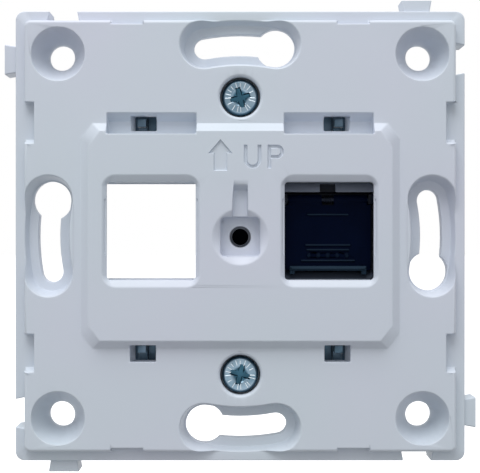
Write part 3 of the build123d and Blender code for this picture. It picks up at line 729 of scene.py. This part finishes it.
def thread_tree():
    """The shank: a cylinder whose wall follows the thread's rule and narrows at the tip."""
    tree = Tree("rolled_thread")
    radius, length = tree.named_input("Radius"), tree.named_input("Length")
    pitch, depth = tree.named_input("Pitch"), tree.named_input("Depth")
    tip = tree.named_input("Tip")
    sides = tree.named_input("Sides", "NodeSocketInt")
    rows = tree.named_input("Rows", "NodeSocketInt")
    material = tree.named_input("Material", "NodeSocketMaterial")
    tube = tree.add("GeometryNodeMeshCylinder", fill_type="TRIANGLE_FAN")
    tube_sizes = {"Vertices": sides, "Side Segments": rows, "Radius": radius, "Depth": length}
    for name, value in tube_sizes.items():
        tree.link(value, tube.inputs[name])
    place = tree.add("GeometryNodeInputPosition").outputs["Position"]
    split = tree.add("ShaderNodeSeparateXYZ", place).outputs
    turn = tree.maths("DIVIDE", tree.maths("ARCTAN2", split["Y"], split["X"]), 2 * math.pi)
    climb = tree.maths("DIVIDE", split["Z"], pitch)
    # The groove goes down and up again once in each pitch
    wave = tree.maths("PINGPONG", tree.maths("SUBTRACT", climb, turn), 0.5)
    groove = tree.maths("MULTIPLY", tree.maths("MULTIPLY", wave, 2.0), depth)
    end = tree.maths("MULTIPLY", length, 0.5)
    near_tip = tree.maths("ADD", tree.maths("SUBTRACT", split["Z"], end), tip)
    narrowed = tree.maths("MAXIMUM", tree.maths("MAXIMUM", near_tip, 0.0), groove)
    share = tree.maths("DIVIDE", tree.maths("SUBTRACT", radius, narrowed), radius)
    across = tree.add("ShaderNodeCombineXYZ", share, share, 1.0).outputs["Vector"]
    moved = tree.add("ShaderNodeVectorMath", place, across, operation="MULTIPLY").outputs["Vector"]
    shaped = tree.add("GeometryNodeSetPosition")
    tree.link(tube.outputs["Mesh"], shaped.inputs["Geometry"])
    tree.link(moved, shaped.inputs["Position"])
    tree.finish(shaped.outputs["Geometry"], material)
    return tree


def rib_tree():
    """A ring of short round ribs that point at the ring's middle."""
    tree = Tree("head_ribs")
    count = tree.named_input("Count", "NodeSocketInt")
    sides = tree.named_input("Sides", "NodeSocketInt")
    inner, length = tree.named_input("Inner"), tree.named_input("Length")
    radius = tree.named_input("Radius")
    lean, shortest = tree.named_input("Lean"), tree.named_input("Shortest")
    material = tree.named_input("Material", "NodeSocketMaterial")
    points = tree.add("GeometryNodePoints")
    tree.link(count, points.inputs["Count"])
    index = tree.add("GeometryNodeInputIndex").outputs["Index"]
    even = tree.maths("MULTIPLY", tree.maths("DIVIDE", index, count), 2 * math.pi)
    sway = tree.random(tree.maths("MULTIPLY", lean, -1.0), lean, RIB_SEED)
    angle = tree.maths("ADD", even, sway)
    middle = tree.maths("ADD", inner, tree.maths("MULTIPLY", length, 0.5))
    x = tree.maths("MULTIPLY", tree.maths("COSINE", angle), middle)
    y = tree.maths("MULTIPLY", tree.maths("SINE", angle), middle)
    place = tree.add("ShaderNodeCombineXYZ", x, y).outputs["Vector"]
    tree.link(place, points.inputs["Position"])
    rib = tree.add("GeometryNodeMeshCylinder", fill_type="NGON")
    for name, value in {"Vertices": sides, "Radius": radius, "Depth": length}.items():
        tree.link(value, rib.inputs[name])
    turn = tree.add("ShaderNodeCombineXYZ", 0.0, math.pi / 2, angle).outputs["Vector"]
    placed = tree.add("GeometryNodeInstanceOnPoints")
    tree.link(points.outputs["Points"], placed.inputs["Points"])
    tree.link(rib.outputs["Mesh"], placed.inputs["Instance"])
    tree.link(turn, placed.inputs["Rotation"])
    share = tree.random(shortest, 1.0, RIB_SEED + 1)
    size = tree.add("ShaderNodeCombineXYZ", 1.0, 1.0, share).outputs["Vector"]
    tree.link(size, placed.inputs["Scale"])
    tree.finish(placed.outputs["Instances"], material)
    return tree


def claw_screw(side, thread, ribs, finish):
    """One claw screw: its head, the ribs around the cross and the rolled thread."""
    node = f"claw_screw_{side}"
    low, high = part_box(node)
    middle = (low.z + high.z) / 2
    seat = low.y + HEAD_DEPTH
    piece = new_piece(node + "_finished", closed_head(node))
    carve(piece, partial(mouth_outline, middle), low.y, MOUTH_DEPTH, MOUTH_DRAFT)
    soften(piece, STEEL_EDGE)
    shank_start = seat - SHANK_SUNK
    shank_length = high.y - shank_start
    shank = thread.make(
        node + "_thread",
        {
            "Radius": SHANK_R, "Length": shank_length, "Pitch": THREAD_PITCH, "Depth": THREAD_DEPTH,
            "Tip": SHANK_TIP, "Sides": THREAD_SIDES, "Rows": THREAD_ROWS, "Material": finish,
        },
    )
    ring = ribs.make(
        node + "_ribs",
        {
            "Count": RIB_COUNT, "Sides": RIB_SIDES, "Inner": RIB_INNER, "Length": RIB_LENGTH,
            "Radius": RIB_R, "Lean": RIB_LEAN, "Shortest": RIB_SHORTEST, "Material": finish,
        },
    )
    facing_back = Matrix.Rotation(-math.pi / 2, 4, "X")
    shank.transform(Matrix.Translation((0, shank_start + shank_length / 2, middle)) @ facing_back)
    ring.transform(Matrix.Translation((0, low.y, middle)) @ facing_back)
    for mesh in (shank, ring):
        mark_corners(mesh)
    join(piece, (shank, ring))
    piece.data.materials.clear()
    piece.data.materials.append(finish)
    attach(piece, node)
    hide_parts(node)


def join(piece, meshes):
    """Adds meshes to a piece's own."""
    holders = [new_piece("part", mesh) for mesh in meshes]
    with bpy.context.temp_override(
        active_object=piece, object=piece, selected_editable_objects=[piece] + holders
    ):
        bpy.ops.object.join()


def paint(node, finish):
    """Gives a solid that keeps its own mesh its finish."""
    for slot in nodes[node].material_slots:
        slot.material = finish


def any_ray(tree, *kinds):
    """A factor that is 1 for rays of these kinds and 0 for all others."""
    path = tree.nodes.new("ShaderNodeLightPath")
    factor = path.outputs[kinds[0]]
    for kind in kinds[1:]:
        either = tree.nodes.new("ShaderNodeMath")
        either.operation = "MAXIMUM"
        tree.links.new(factor, either.inputs[0])
        tree.links.new(path.outputs[kind], either.inputs[1])
        factor = either.outputs["Value"]
    return factor


def floor():
    """The plain pale floor: white to the eye, and dull to the light that it throws back."""
    half = FLOOR_SIZE / 2
    height = PLATE_LOW.z - FLOOR_DROP
    mesh = bpy.data.meshes.new("floor")
    corners = [(x, y, height) for x, y in rectangle(-half, half, -half, half)]
    mesh.from_pydata(corners, [], [(0, 1, 2, 3)])
    plane = new_piece("floor", mesh)
    finish = Finish("floor_white")
    tree = finish.tree
    pale = finish.add("ShaderNodeBsdfDiffuse")
    pale.inputs["Color"].default_value = (FLOOR_WHITE, FLOOR_WHITE, FLOOR_WHITE, 1)
    glow = finish.add("ShaderNodeEmission")
    glow.inputs["Strength"].default_value = FLOOR_GLOW
    bright = finish.add("ShaderNodeAddShader")
    dull = finish.add("ShaderNodeBsdfDiffuse")
    dull.inputs["Color"].default_value = (FLOOR_SHADE, FLOOR_SHADE, FLOOR_SHADE, 1)
    mix = finish.add("ShaderNodeMixShader")
    finish.link(pale.outputs[0], bright.inputs[0])
    finish.link(glow.outputs[0], bright.inputs[1])
    finish.link(any_ray(tree, "Is Camera Ray", "Is Glossy Ray"), mix.inputs["Fac"])
    finish.link(dull.outputs[0], mix.inputs[1])
    finish.link(bright.outputs[0], mix.inputs[2])
    finish.link(mix.outputs[0], tree.nodes["Material Output"].inputs["Surface"])
    mesh.materials.append(finish.material)


def sky():
    """Soft light that is stronger from above; the eye, metal and glass see plain white instead."""
    world = bpy.data.worlds.new("sky")
    bpy.context.scene.world = world
    world.use_nodes = True
    tree = world.node_tree
    make, link = tree.nodes.new, tree.links.new
    light = tree.nodes["Background"]
    place = make("ShaderNodeTexCoord")
    split = make("ShaderNodeSeparateXYZ")
    level = make("ShaderNodeMapRange")
    node_inputs(level, From_Min=-1.0, From_Max=1.0, To_Min=SKY_BOTTOM, To_Max=SKY_TOP)
    link(place.outputs["Generated"], split.inputs[0])
    link(split.outputs["Z"], level.inputs["Value"])
    link(level.outputs["Result"], light.inputs["Strength"])
    light.inputs["Color"].default_value = (1.0, 1.0, 1.0, 1)
    white = make("ShaderNodeBackground")
    white.inputs["Color"].default_value = (1, 1, 1, 1)
    mix = make("ShaderNodeMixShader")
    seen = any_ray(tree, "Is Camera Ray", "Is Glossy Ray", "Is Transmission Ray")
    link(seen, mix.inputs["Fac"])
    link(light.outputs[0], mix.inputs[1])
    link(white.outputs[0], mix.inputs[2])
    link(mix.outputs[0], tree.nodes["World Output"].inputs["Surface"])


def key_light():
    """The soft lamp above and in front, turned to the plate."""
    data = bpy.data.lights.new("key", "AREA")
    data.size = KEY_SIZE
    data.energy = KEY_POWER
    lamp = bpy.data.objects.new("key", data)
    lamp.location = KEY_PLACE
    away = lamp.location.normalized()
    lamp.rotation_euler = away.to_track_quat("Z", "Y").to_euler()
    bpy.context.scene.collection.objects.link(lamp)


def camera():
    """The camera square on to the face, as in the photograph."""
    data = bpy.data.cameras.new("camera")
    data.lens = LENS_MM
    data.sensor_width = SENSOR_MM
    data.clip_start = CLIP_START
    holder = bpy.data.objects.new("camera", data)
    holder.location = (CAMERA_SIDE, -CAMERA_DISTANCE, CAMERA_LIFT)
    holder.rotation_euler = (math.pi / 2, 0, 0)
    bpy.context.scene.collection.objects.link(holder)
    bpy.context.scene.camera = holder


camera()
sky()
key_light()
floor()

plate_moulding(plate_white())
softened_part("jack_housing", "root", MOULDING_EDGE, housing_black(), latch_root())
softened_part("jack_shutter", "jack_shutter", MOULDING_EDGE, shutter_black())
leg_zinc, head_zinc = claw_zinc(), screw_zinc()
thread, ribs = thread_tree(), rib_tree()
for side in ("upper", "lower"):
    softened_part(f"claw_{side}", f"claw_{side}", STEEL_EDGE, leg_zinc)
    claw_screw(side, thread, ribs, head_zinc)
paint("cover_screw_insert", dark_steel())
wire = oiled_wire()
paint("shutter_pin", wire)
paint("shutter_spring", wire)
gold, tin = gold_plate(), tin_plate()
for number in range(1, CONTACT_COUNT + 1):
    paint(f"contact_{number}", gold)
    paint(f"terminal_blade_{number}", tin)
paint("contact_sled", sled_black())
paint("jack_board", board_green())
paint("terminal_block", terminal_grey())

bpy.context.scene.view_settings.view_transform = "Standard"
